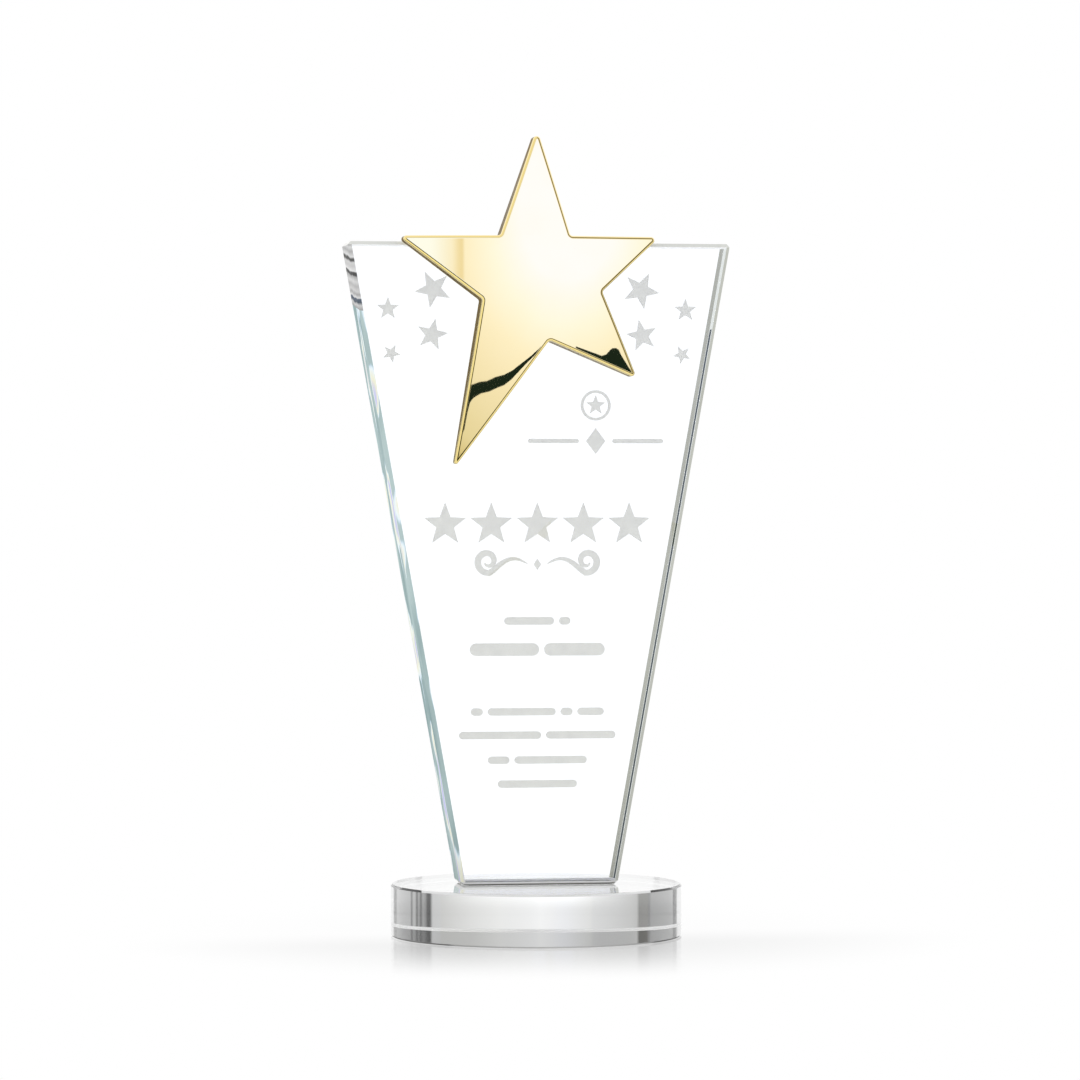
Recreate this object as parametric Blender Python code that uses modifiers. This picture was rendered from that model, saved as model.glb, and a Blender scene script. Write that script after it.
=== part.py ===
"""Star trophy: a tapered crystal panel bonded upright on a round crystal base, with a domed,
gold-plated star bonded to its front face.

Metres, +Z up, front towards -Y. The origin is the middle of the base's underside.
"""

import math

import bmesh
import bpy
from mathutils import Matrix, Vector

MM = 0.001

# Every pair of touching pieces keeps this gap.
GAP = 0.3 * MM

# Round base
BASE_DIAMETER = 101.6 * MM
BASE_THICKNESS = 18.2 * MM
BASE_CHAMFER = 0.7 * MM
BASE_SIDES = 128

# Tapered panel
PANEL_THICKNESS = 19.0 * MM
PANEL_HEIGHT = 222.5 * MM
PANEL_TOP_WIDTH = 134.8 * MM
PANEL_FOOT_WIDTH = 54.8 * MM
PANEL_CHAMFER = 1.2 * MM

# Adhesive film under the panel
FILM_THICKNESS = 0.3 * MM
FILM_MARGIN = 2.0 * MM

# Small stars etched into the panel's back face, as mirrored pairs about a line a little right of
# the panel's middle: distance from that line, height above the base's underside, tip radius, and
# tilt of the right-hand one in degrees
ETCH_DEPTH = 0.5 * MM
ETCH_MIDDLE = 0.9 * MM
ETCH_WAIST = 0.42
ETCHED_PAIRS = (
    (36.8 * MM, 225.7 * MM, 6.6 * MM, 26.0),
    (52.7 * MM, 218.8 * MM, 4.0 * MM, 0.0),
    (37.2 * MM, 209.8 * MM, 5.6 * MM, -12.0),
    (51.5 * MM, 203.2 * MM, 3.2 * MM, -26.0),
)

# Cast star. Its origin is the dome's axis on its flat back.
STAR_X = -3.0 * MM
STAR_Z = 230.0 * MM
STAR_THICKNESS = 9.0 * MM
STAR_RIM_BEVEL = 1.1 * MM
STAR_DOME_RADIUS = 400.0 * MM
STAR_FACE_GRID = 6.0 * MM
STAR_ARC_STEPS = 4
STAR_LEAST_RADIUS = 0.05 * MM

# Corners of the star's outline, clockwise from the top, before they are rounded:
# x and height from the star's origin, then the corner's radius
STAR_CORNERS = (
    (0.8 * MM, 50.9 * MM, 1.3 * MM),
    (12.1 * MM, 13.5 * MM, 1.2 * MM),
    (43.9 * MM, 13.4 * MM, 1.2 * MM),
    (23.4 * MM, -5.7 * MM, 1.2 * MM),
    (36.2 * MM, -35.9 * MM, 1.1 * MM),
    (4.8 * MM, -22.7 * MM, 1.2 * MM),
    (-28.3 * MM, -67.8 * MM, 0.8 * MM),
    (-18.7 * MM, -8.6 * MM, 1.2 * MM),
    (-48.0 * MM, 13.3 * MM, 1.1 * MM),
    (-12.4 * MM, 13.5 * MM, 1.2 * MM),
)

# Foam tape pad behind the star
PAD_THICKNESS = 0.4 * MM
PAD_INSET = 3.5 * MM

# Heights and depths that follow from the sizes above
FILM_Z = BASE_THICKNESS + GAP
PANEL_Z = FILM_Z + FILM_THICKNESS + GAP
PANEL_TOP_Z = PANEL_Z + PANEL_HEIGHT
PANEL_FRONT_Y = -PANEL_THICKNESS / 2
PANEL_BACK_Y = PANEL_THICKNESS / 2
PAD_BACK_Y = PANEL_FRONT_Y - GAP
STAR_BACK_Y = PAD_BACK_Y - PAD_THICKNESS - GAP

# Turns a shape drawn in its own XY plane to stand upright, facing -Y.
UPRIGHT = (math.radians(90), 0, 0)


def clear_scene():
    for obj in list(bpy.data.objects):
        bpy.data.objects.remove(obj, do_unlink=True)


def new_collection(name, hidden=False):
    collection = bpy.data.collections.new(name)
    bpy.context.scene.collection.children.link(collection)
    collection.hide_render = hidden
    return collection


def new_material(name, color, roughness, metallic=0.0, transmission=0.0, ior=1.5):
    material = bpy.data.materials.new(name)
    material.use_nodes = True
    shader = material.node_tree.nodes["Principled BSDF"]
    shader.inputs["Base Color"].default_value = (*color, 1.0)
    shader.inputs["Roughness"].default_value = roughness
    shader.inputs["Metallic"].default_value = metallic
    shader.inputs["Transmission Weight"].default_value = transmission
    shader.inputs["IOR"].default_value = ior
    return material


def new_object(name, bm, collection, material=None):
    """Puts a finished bmesh in the scene, with its faces pointing out."""
    bmesh.ops.recalc_face_normals(bm, faces=bm.faces)
    mesh = bpy.data.meshes.new(name)
    bm.to_mesh(mesh)
    bm.free()
    obj = bpy.data.objects.new(name, mesh)
    collection.objects.link(obj)
    if material:
        mesh.materials.append(material)
    return obj


def new_cutter(name, bm, collection):
    cutter = new_object(name, bm, collection)
    cutter.hide_render = True
    cutter.display_type = "WIRE"
    return cutter


def add_chamfer(obj, width):
    bevel = obj.modifiers.new("chamfer", "BEVEL")
    bevel.width = width
    bevel.segments = 1
    bevel.limit_method = "ANGLE"
    bevel.angle_limit = math.radians(30)


def add_cut(obj, cutter):
    cut = obj.modifiers.new(cutter.name, "BOOLEAN")
    cut.operation = "DIFFERENCE"
    cut.solver = "EXACT"
    cut.object = cutter


def box(size, centre):
    bm = bmesh.new()
    place = Matrix.Translation(centre) @ Matrix.Diagonal((*size, 1.0))
    bmesh.ops.create_cube(bm, size=1.0, matrix=place)
    return bm


def prism(outline, depth):
    """The outline, extruded from z = 0 to z = depth."""
    bm = bmesh.new()
    face = bm.faces.new([bm.verts.new((x, y, 0.0)) for x, y in outline])
    extruded = bmesh.ops.extrude_face_region(bm, geom=[face])
    moved = [item for item in extruded["geom"] if isinstance(item, bmesh.types.BMVert)]
    bmesh.ops.translate(bm, verts=moved, vec=(0, 0, depth))
    return bm


def crystal_base(parts, crystal):
    bm = bmesh.new()
    bmesh.ops.create_cone(
        bm,
        cap_ends=True,
        segments=BASE_SIDES,
        radius1=BASE_DIAMETER / 2,
        radius2=BASE_DIAMETER / 2,
        depth=BASE_THICKNESS,
    )
    base = new_object("crystal_base", bm, parts, crystal)
    base.location.z = BASE_THICKNESS / 2
    add_chamfer(base, BASE_CHAMFER)


def panel_bond_film(parts, adhesive):
    size = (PANEL_FOOT_WIDTH - 2 * FILM_MARGIN, PANEL_THICKNESS - 2 * FILM_MARGIN, FILM_THICKNESS)
    new_object("panel_bond_film", box(size, (0, 0, FILM_Z + FILM_THICKNESS / 2)), parts, adhesive)


def etched_star_outline(radius):
    points = []
    for step in range(10):
        angle = math.radians(90 + 36 * step)
        reach = radius if step % 2 == 0 else radius * ETCH_WAIST
        points.append((reach * math.cos(angle), reach * math.sin(angle)))
    return points


def etched_stars_cutter(cutters):
    """All eight small stars, reaching ETCH_DEPTH into the panel's back face."""
    joined = bmesh.new()
    for distance, height, radius, tilt in ETCHED_PAIRS:
        for side in (-1, 1):
            star = prism(etched_star_outline(radius), 2 * ETCH_DEPTH)
            x = ETCH_MIDDLE + side * distance
            place = Matrix.Translation((x, PANEL_BACK_Y + ETCH_DEPTH, height))
            turn = Matrix.Rotation(math.radians(side * tilt), 4, "Y")
            stand = Matrix.Rotation(UPRIGHT[0], 4, "X")
            star.transform(place @ turn @ stand)
            mesh = bpy.data.meshes.new("etched_star")
            star.to_mesh(mesh)
            star.free()
            joined.from_mesh(mesh)
            bpy.data.meshes.remove(mesh)
    return new_cutter("etched_stars", joined, cutters)


def crystal_panel(parts, cutters, crystal):
    """A slab, narrowed towards its foot, with chamfered edges and the small stars in its back."""
    middle = (0, 0, PANEL_Z + PANEL_HEIGHT / 2)
    bm = box((PANEL_TOP_WIDTH, PANEL_THICKNESS, PANEL_HEIGHT), middle)
    for vert in bm.verts:
        if vert.co.z < middle[2]:
            vert.co.x *= PANEL_FOOT_WIDTH / PANEL_TOP_WIDTH
    panel = new_object("crystal_panel", bm, parts, crystal)
    add_chamfer(panel, PANEL_CHAMFER)
    add_cut(panel, etched_stars_cutter(cutters))


def rounded_corner(before, corner, after, radius, inset):
    """The arc at one corner, once the two edges that meet there have moved in by inset.

    The edges on either side run on to the corners before and after. A tip's arc shrinks as the
    edges move in, and a notch's arc grows.
    """
    to_before = (before - corner).normalized()
    to_after = (after - corner).normalized()
    bisector = (to_before + to_after).normalized()
    half_angle = to_before.angle(to_after) / 2
    is_tip = to_after.x * to_before.y - to_after.y * to_before.x < 0
    side = 1 if is_tip else -1
    moved = corner + bisector * (side * inset / math.sin(half_angle))
    rounding = max(radius - side * inset, STAR_LEAST_RADIUS)
    centre = moved + bisector * (rounding / math.sin(half_angle))
    start = moved + to_before * (rounding / math.tan(half_angle)) - centre
    sweep = -side * (math.pi - 2 * half_angle)
    points = []
    for step in range(STAR_ARC_STEPS + 1):
        spoke = start.copy()
        spoke.rotate(Matrix.Rotation(sweep * step / STAR_ARC_STEPS, 2))
        points.append(centre + spoke)
    return points


def star_outline(inset):
    """The star's outline, moved in by inset, with every corner rounded by the same few points."""
    corners = [Vector(corner[:2]) for corner in STAR_CORNERS]
    points = []
    for index, (_, _, radius) in enumerate(STAR_CORNERS):
        before = corners[index - 1]
        after = corners[(index + 1) % len(corners)]
        points += rounded_corner(before, corners[index], after, radius, inset)
    return points


def dome_drop(x, y):
    """How far the domed face lies below its highest point."""
    return STAR_DOME_RADIUS - math.sqrt(STAR_DOME_RADIUS**2 - x * x - y * y)


def cut_along_grid(bm, spacing):
    """Cuts every face along planes of constant x and y, so that it can follow the dome."""
    for normal in ((1, 0, 0), (0, 1, 0)):
        reach = max(abs(vert.co.dot(Vector(normal))) for vert in bm.verts)
        count = int(reach / spacing)
        for step in range(-count, count + 1):
            bmesh.ops.bisect_plane(
                bm,
                geom=[*bm.verts, *bm.edges, *bm.faces],
                dist=1e-7,
                plane_co=Vector(normal) * (step * spacing),
                plane_no=normal,
            )


def gold_star(parts, gold):
    """A casting with straight walls, a bevelled rim and one shallow dome across its face."""
    bm = bmesh.new()
    rim_height = STAR_THICKNESS - STAR_RIM_BEVEL
    levels = ((0.0, 0.0), (0.0, rim_height), (STAR_RIM_BEVEL, STAR_THICKNESS))
    rings = []
    for inset, height in levels:
        rings.append([bm.verts.new((point.x, point.y, height)) for point in star_outline(inset)])
    for lower, upper in zip(rings, rings[1:]):
        for index in range(len(lower)):
            following = (index + 1) % len(lower)
            bm.faces.new((lower[index], lower[following], upper[following], upper[index]))
    bm.faces.new(rings[0])
    bm.faces.new(rings[-1])
    cut_along_grid(bm, STAR_FACE_GRID)
    for vert in bm.verts:
        if vert.co.z > 0:
            vert.co.z -= dome_drop(vert.co.x, vert.co.y)
    star = new_object("gold_star", bm, parts, gold)
    star.location = (STAR_X, STAR_BACK_Y, STAR_Z)
    star.rotation_euler = UPRIGHT
    star.data.shade_smooth()
    star.data.set_sharp_from_angle(angle=math.radians(25))


def star_tape_pad(parts, cutters, tape):
    """Follows the star's outline, further in, and stops below the panel's top edge."""
    outline = [(point.x, point.y) for point in star_outline(PAD_INSET)]
    pad = new_object("star_tape_pad", prism(outline, PAD_THICKNESS), parts, tape)
    pad.location = (STAR_X, PAD_BACK_Y, STAR_Z)
    pad.rotation_euler = UPRIGHT
    reach = PANEL_TOP_WIDTH
    top = PANEL_TOP_Z - PANEL_CHAMFER - GAP
    trim = new_cutter("pad_trim", box((reach, reach, reach), (0, 0, top + reach / 2)), cutters)
    add_cut(pad, trim)


def main():
    clear_scene()
    parts = new_collection("star_trophy")
    cutters = new_collection("cutters", hidden=True)
    crystal = new_material("crystal", (0.93, 0.97, 0.96), 0.0, transmission=1.0, ior=1.52)
    base_crystal = new_material("base_crystal", (0.95, 0.97, 0.97), 0.0, transmission=1.0, ior=1.52)
    gold = new_material("gold_plate", (0.95, 0.74, 0.33), 0.04, metallic=1.0)
    adhesive = new_material("clear_adhesive", (0.95, 0.96, 0.95), 0.05, transmission=1.0, ior=1.5)
    tape = new_material("foam_tape", (0.75, 0.76, 0.76), 0.6)
    crystal_base(parts, base_crystal)
    panel_bond_film(parts, adhesive)
    crystal_panel(parts, cutters, crystal)
    star_tape_pad(parts, cutters, tape)
    gold_star(parts, gold)


main()
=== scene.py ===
"""Looks of the star trophy: clear crystal, frosted etching and mirror gold, in a pale studio.

Metres, +Z up, front towards -Y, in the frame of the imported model.
"""

import math

import bmesh
import bpy
from mathutils import Matrix, Vector


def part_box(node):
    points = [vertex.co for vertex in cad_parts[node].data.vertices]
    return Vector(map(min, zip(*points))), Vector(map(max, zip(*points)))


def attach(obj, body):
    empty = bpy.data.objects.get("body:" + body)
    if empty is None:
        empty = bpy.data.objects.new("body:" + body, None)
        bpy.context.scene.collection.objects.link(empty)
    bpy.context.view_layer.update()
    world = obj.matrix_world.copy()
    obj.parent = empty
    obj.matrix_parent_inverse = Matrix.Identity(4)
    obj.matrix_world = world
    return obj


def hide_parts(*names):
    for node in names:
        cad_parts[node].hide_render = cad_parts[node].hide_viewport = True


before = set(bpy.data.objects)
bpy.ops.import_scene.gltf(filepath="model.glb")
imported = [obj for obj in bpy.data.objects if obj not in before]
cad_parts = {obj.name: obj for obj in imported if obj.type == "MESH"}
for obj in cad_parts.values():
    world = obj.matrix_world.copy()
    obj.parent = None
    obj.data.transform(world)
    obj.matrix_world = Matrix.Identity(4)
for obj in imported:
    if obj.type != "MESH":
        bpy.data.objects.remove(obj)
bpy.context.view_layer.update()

MM = 0.001
UPRIGHT = math.radians(90)
DEGREES = 180 / math.pi

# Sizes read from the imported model
BASE_LOW, BASE_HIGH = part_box("crystal_base")
PANEL_LOW, PANEL_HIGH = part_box("crystal_panel")
STAR_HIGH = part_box("gold_star")[1]

CRYSTAL_IOR = 1.52
LIGHT_BOUNCES = 24

# Crystal base and panel. The film between them has a drawn-in edge and round corners.
BASE_TOP_CHAMFER = 0.7 * MM
BASE_FOOT_CHAMFER = 0.6 * MM
# The veil of painted shade on the base's foot chamfer, darker towards both sides
BASE_FOOT_TONES = ((0.0, 0.6), (0.5, 0.48), (0.67, 0.4), (0.71, 0.16), (1.0, 0.24))
BASE_SIDES = 512
PANEL_FOOT_WIDTH = 54.8 * MM
PANEL_TOP_WIDTH = 134.8 * MM
PANEL_CHAMFER = 1.2 * MM
FILM_THICKNESS = 0.06 * MM
FILM_GAP = 0.02 * MM
FILM_MARGIN = 1.6 * MM
FILM_CORNER = 1.5 * MM
FILM_STEPS = 48

# Star. Each corner of the outline has its x and z from the origin, and its radius.
STAR_ORIGIN = Vector((-3.0 * MM, STAR_HIGH[1], 230.0 * MM))
STAR_THICKNESS = 9.0 * MM
STAR_EDGE_RADIUS = 1.15 * MM
STAR_EDGE_STEPS = 12
STAR_DOME_RADIUS = 400.0 * MM
STAR_FACE_GRID = 2.0 * MM
STAR_ARC_STEPS = 12
STAR_LEAST_RADIUS = 0.05 * MM
STAR_CORNERS = (
    (0.8 * MM, 50.9 * MM, 1.3 * MM),
    (12.1 * MM, 13.5 * MM, 1.2 * MM),
    (43.9 * MM, 13.4 * MM, 1.2 * MM),
    (23.4 * MM, -5.7 * MM, 1.2 * MM),
    (36.2 * MM, -35.9 * MM, 1.1 * MM),
    (4.8 * MM, -22.7 * MM, 1.2 * MM),
    (-28.3 * MM, -67.8 * MM, 0.8 * MM),
    (-18.7 * MM, -8.6 * MM, 1.2 * MM),
    (-48.0 * MM, 13.3 * MM, 1.1 * MM),
    (-12.4 * MM, 13.5 * MM, 1.2 * MM),
)

# The panel's materials, in the order of its slots
CLEAR, FROSTED, LEFT_SIDE, LEFT_CHAMFER, RIGHT_SIDE, RIGHT_CHAMFER, TOP_FRONT, TOP_BACK, FOOT = range(9)
# How much of a face's normal makes it a side, and how much of two makes it a chamfer
SIDE_LEAST = 0.9
CHAMFER_LEAST = 0.4

# The veil of painted refraction, light and shade on the panel's narrow sides and chamfers: how much it
# covers, and between which facing weights it sets in on a broad face
VEIL = 0.93
VEIL_ONSET = (0.6, 0.8)
# Left side: teal tint, painted glints where the noise is high, and bands of painted reflection from a
# height up to the top
EDGE_TEALS = ((0.35, (0.25, 0.37, 0.38)), (0.65, (0.48, 0.61, 0.61)))
EDGE_PAINTED_GLINTS = (
    (0.54, (0.5, 0.72, 0.92)),
    (0.58, (0.9, 0.98, 1.0)),
    (0.64, (0.93, 0.92, 0.7)),
    (0.7, (0.6, 0.62, 0.95)),
)
EDGE_BAND_SLANT = 0.13
EDGE_BAND_WAVER = 1.6 * MM
EDGE_BANDS_FOOT = 219.0 * MM
EDGE_BANDS_HEIGHT = 24.0 * MM
EDGE_BANDS = (
    (0.0, 0.35), (0.06, 0.62), (0.1, (0.08, 0.1, 0.13)), (0.15, (0.1, 0.13, 0.18)), (0.17, 0.75),
    (0.22, 0.4), (0.27, 0.66), (0.34, 0.5), (0.4, 0.7), (0.47, 0.42), (0.49, 0.07), (0.53, 0.07),
    (0.55, 0.8), (0.62, 0.6), (0.68, 0.66), (0.71, 0.1), (0.74, 0.1), (0.77, 0.75), (0.84, 0.45),
    (0.9, 0.7), (0.95, 0.3), (1.0, 0.65),
)
# Right side: a pale veil with one painted dark line of shade, which ends at a height below the top
EDGE_LINE_TOP = 212.0 * MM
EDGE_LINE_HALF = 2.4 * MM
EDGE_LINE_DEPTH = 4.6 * MM
EDGE_SHADE_LINE_TONE = (0.03, 0.045, 0.04, 1.0)
EDGE_PALE = (0.92, 0.95, 0.9, 1.0)
# Chamfers on the right, at the top and at the foot: greys of painted shade, whites of painted light, and
# a painted dark line of shade where the panel meets its base
EDGE_GREYS = ((0.35, (0.49, 0.5, 0.45)), (0.65, (0.55, 0.56, 0.51)))
EDGE_BACK_GREYS = ((0.35, (0.47, 0.475, 0.39)), (0.65, (0.52, 0.525, 0.44)))
EDGE_RIM_GREYS = ((0.35, (0.66, 0.67, 0.64)), (0.65, (0.72, 0.73, 0.70)))
EDGE_WHITES = ((0.35, (0.9, 0.91, 0.89)), (0.65, (0.97, 0.97, 0.95)))
# The foot chamfers: a painted dark line of shade where the panel meets its base, paler above
FOOT_TONES = ((0.0, 0.08), (0.2, (0.1, 0.1, 0.08)), (0.28, 0.86), (0.5, 0.93))

# Etching in the panel's back face. Its middle is a little right of the panel's.
# Each pair of stars has its distance from the middle, its height, its radius and its tilt in degrees.
# ETCH_WAIST is an etched star's inner radius as a share of its outer one.
ETCH_DEPTH = 0.5 * MM
ETCH_WAIST = 0.42
ETCH_MIDDLE = 0.9 * MM
ETCHED_PAIRS = (
    (36.8 * MM, 225.7 * MM, 6.6 * MM, 26.0),
    (52.7 * MM, 218.8 * MM, 4.0 * MM, 0.0),
    (37.2 * MM, 209.8 * MM, 5.6 * MM, -12.0),
    (51.5 * MM, 203.2 * MM, 3.2 * MM, -26.0),
)

# Emblem: a star in a ring, over a rule with a lozenge in its middle
EMBLEM_X = 20.7 * MM
EMBLEM_Z = 185.3 * MM
EMBLEM_RING = (5.3 * MM, 4.4 * MM)
EMBLEM_STAR = 3.5 * MM
RULE_Z = 172.8 * MM
RULE_HALF = 24.0 * MM
RULE_HEIGHT = 1.5 * MM
RULE_BREAK = 6.0 * MM
LOZENGE = (3.4 * MM, 4.5 * MM)

# Heading: a row of stars. Each is lowered by a share of its radius, so that it looks centred.
HEADING_Z = 144.2 * MM
HEADING_STAR = 7.7 * MM
HEADING_SPACING = 16.3 * MM
HEADING_COUNT = 5
HEADING_DROP = 0.09

# Flourish: two mirrored scrolls, from a lozenge out to their curls
FLOURISH_Z = 129.6 * MM
FLOURISH_LOZENGE = (1.3 * MM, 1.9 * MM)
FLOURISH_STROKE = 2.3 * MM
# A stroke's width at its ends, as a share of its full width, and how quickly it swells
STROKE_END = 0.12
STROKE_SWELL = 0.8
# One scroll, in millimetres: a wave of so many half turns that falls as it goes, then a curl
WAVE_START = 3.6
WAVE_LENGTH = 13.4
WAVE_RISE = 2.6
WAVE_FALL = 1.6
WAVE_HALF_TURNS = 1.15
WAVE_PHASE = 0.1
WAVE_STEPS = 24
CURL_CENTRE = (0.6, 4.1)
CURL_SWEEP = 430.0
CURL_SHRINK = 0.72
CURL_STEPS = 48

# Blank lines standing for an inscription: height of the middle, thickness, then the words' lengths
# in millimetres
LINE_GAP = 1.8 * MM
LINES = (
    (109.8 * MM, 2.7 * MM, (17.6, 4.0)),
    (99.8 * MM, 4.4 * MM, (24.5, 21.5)),
    (78.0 * MM, 2.6 * MM, (4.2, 24.0, 4.2, 9.3)),
    (69.8 * MM, 2.6 * MM, (29.0, 24.6)),
    (61.1 * MM, 2.6 * MM, (7.6, 25.6)),
    (52.7 * MM, 2.6 * MM, (28.0,)),
)

# Camera: angles in degrees, lens and sensor in millimetres
CAMERA_PLACE = (-0.26240, -1.64263, 0.15382)
CAMERA_TURN = 9.123
CAMERA_PITCH = -0.54
CAMERA_LENS = 158.66
CAMERA_SENSOR = 36.0

# Dark shapes mirrored in the star's two lower legs: x and z in millimetres from the star's origin
LEFT_DARK = (
    (-27.0, -38.6), (-22.0, -38.0), (-19.5, -37.1), (-17.0, -36.8), (-14.0, -35.4), (-11.0, -34.6),
    (-8.0, -33.0), (-5.0, -30.6), (-1.0, -27.4), (2.0, -24.6), (2.0, -25.8), (-1.0, -28.4),
    (-3.5, -30.9), (-6.0, -33.6), (-8.5, -36.2), (-11.0, -38.2), (-13.5, -39.2), (-16.0, -40.4),
    (-19.0, -41.1), (-21.5, -42.6), (-22.7, -44.2), (-23.6, -48.0), (-24.5, -53.5), (-26.5, -58.0),
    (-28.0, -58.0),
)
RIGHT_DARK = (
    (14.0, -24.7), (19.2, -26.5), (23.2, -27.9), (24.8, -27.4), (26.0, -26.0), (26.9, -25.3),
    (28.2, -25.2), (29.2, -25.8), (30.2, -27.8), (33.0, -32.1), (38.0, -38.0), (38.0, -42.0),
    (20.0, -34.0), (14.0, -27.0),
)
# How far in front of the star the cards that it mirrors there stand
DARK_DISTANCE = 0.7
DARK_TONE = (0.011, 0.022, 0.02, 1.0)

# Floor. Its gloss fades out between two distances from the trophy, and towards the back.
FLOOR_HALF = 6.0
FLOOR_LEVEL = -0.05 * MM
FLOOR_GLOSS = 0.55
FLOOR_GLOSS_FADE = (0.04, 0.16)
FLOOR_GLOSS_BACK = (-0.04, 0.02)
FLOOR_GLOSS_BEHIND = 0.15
FLOOR_GLOSS_ROUGHNESS = 0.07

# Brightness behind the trophy: degrees left of the line of sight, then the brightness below, at and
# above the horizon. Narrow dark stands edge the white sweep on either side.
SURROUND_LEFT = (
    (-180, 1.0, 1.0, 1.0), (-90, 0.8, 0.8, 0.7), (-75.6, 0.72, 0.76, 0.6), (-75, 0.02, 0.03, 0.01),
    (-67.8, 0.02, 0.03, 0.01), (-67.2, 0.4, 0.5, 0.22), (-55, 0.38, 0.48, 0.21),
    (-48.8, 0.38, 0.45, 0.2), (-48.5, 0.1, 0.14, 0.04), (-47.6, 0.1, 0.14, 0.04),
    (-47.3, 0.4, 0.46, 0.2), (-44.4, 0.38, 0.42, 0.16), (-44.2, 0.08, 0.1, 0.03),
    (-43.4, 0.08, 0.1, 0.03), (-43.1, 0.3, 0.4, 0.14), (-41, 0.27, 0.34, 0.13),
    (-40.8, 0.08, 0.1, 0.03), (-40.1, 0.08, 0.1, 0.03), (-39.9, 0.28, 0.36, 0.11),
    (-39, 0.28, 0.36, 0.11), (-38.8, 0.1, 0.12, 0.03), (-38.2, 0.1, 0.12, 0.03),
    (-37.9, 0.25, 0.32, 0.1), (-37, 0.25, 0.32, 0.1), (-36.8, 0.04, 0.06, 0.02),
    (-35, 0.04, 0.06, 0.02), (-34.6, 0.52, 0.56, 0.44), (-30, 0.56, 0.6, 0.42),
    (-18, 0.72, 0.85, 0.46), (0, 0.92, 1.1, 0.66),
)
SURROUND_RIGHT = (
    (0, 0.92, 1.1, 0.66), (10, 0.79, 1.06, 0.53), (18, 0.69, 0.84, 0.43), (30, 0.56, 0.6, 0.42),
    (32.5, 0.52, 0.56, 0.44), (32.8, 0.25, 0.31, 0.09), (38, 0.25, 0.31, 0.09),
    (38.3, 0.04, 0.06, 0.02), (39.2, 0.04, 0.06, 0.02), (39.5, 0.3, 0.38, 0.26),
    (50, 0.3, 0.4, 0.28), (62.4, 0.28, 0.4, 0.26), (63, 0.01, 0.02, 0.01), (70, 0.01, 0.02, 0.01),
    (70.6, 0.72, 0.76, 0.6), (90, 0.8, 0.8, 0.7), (180, 1.0, 1.0, 1.0),
)
GROUND_TONE = 0.72
SKY_TONE = 1.2
# Degrees of elevation where one zone passes into the next, and half the width of the change
GROUND_TOP = (-14.0, 2.0)
LOW_ZONE_TOP = (-4.9, 0.1)
HIGH_ZONE_START = (4.4, 0.2)
SKY_START = (22.0, 4.0)

# Key light in front: its middle and spread in degrees, then its colours by the number of spreads from
# its middle
KEY_ACROSS = 13.0
KEY_WIDTH = 14.0
KEY_UP = 10.0
KEY_HEIGHT = 20.0
# How far the light's outline leans, and the spread at which its colours end
KEY_SLANT = 0.15
KEY_END = 6.0
KEY_COLORS = (
    (0.40, (1.05, 1.17, 2.10)),
    (0.65, (1.02, 1.13, 1.62)),
    (0.85, (1.00, 1.04, 1.28)),
    (1.09, (0.93, 0.93, 1.00)),
    (1.46, (0.79, 0.78, 0.72)),
)
# What lies round the key light: above and to its left, above and to its right, low left and low right
OPEN_RING = (
    (1.75, (0.7, 0.67, 0.58)),
    (2.3, (0.62, 0.57, 0.42)),
    (3.2, (0.92, 0.89, 0.72)),
    (6.0, (0.85, 0.8, 0.58)),
)
RIGHT_RING = (
    (1.75, (0.6, 0.56, 0.44)),
    (2.2, (0.2, 0.18, 0.11)),
    (4.4, (0.26, 0.23, 0.15)),
    (6.0, (0.75, 0.7, 0.5)),
)
LOW_LEFT_RING = (
    (1.55, (0.7, 0.66, 0.5)),
    (1.66, (0.02, 0.02, 0.01)),
    (3.3, (0.03, 0.03, 0.01)),
    (3.6, (1.0, 0.98, 0.7)),
)
LOW_RIGHT_RING = (
    (1.75, (0.7, 0.66, 0.5)),
    (1.9, (0.02, 0.02, 0.01)),
    (3.9, (0.03, 0.03, 0.01)),
    (4.3, (0.9, 0.86, 0.6)),
)
# Where the rings change from left to right and from above to below, as shares of the distance
RINGS_TO_RIGHT = (0.1, 0.5)
RINGS_BELOW = (-0.4, -0.1)
# The ground in front, from these degrees of elevation down, and the one behind
LOW_RINGS_FOOT = (-44.0, -38.0)
FRONT_GROUND_TONE = (0.97, 0.93, 0.7, 1.0)
UNDERSIDE_TOP = (-45.0, -20.0)
UNDERSIDE_TONE = (0.07, 0.06, 0.03, 1.0)
# To the left of the key light stands a second one, with a seam between the two. The edges are in
# degrees right of straight ahead, the foot in degrees of elevation and the reach in spreads. The
# seam has its start, its deepest line and its end.
SECOND_LIGHT = (1.0, 1.17, 1.85, 1.0)
SECOND_LIGHT_EDGE = (-3.0, 0.8)
SECOND_LIGHT_FOOT = (-6.0, -2.0)
SECOND_LIGHT_REACH = (1.5, 2.1)
SEAM_TONE = (0.88, 0.84, 0.78, 1.0)
SEAM = (-0.45, 0.77, 1.2)


# ---------------------------------------------------------------- nodes


def grey(tone):
    return (tone, tone, tone, 1.0)


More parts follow.
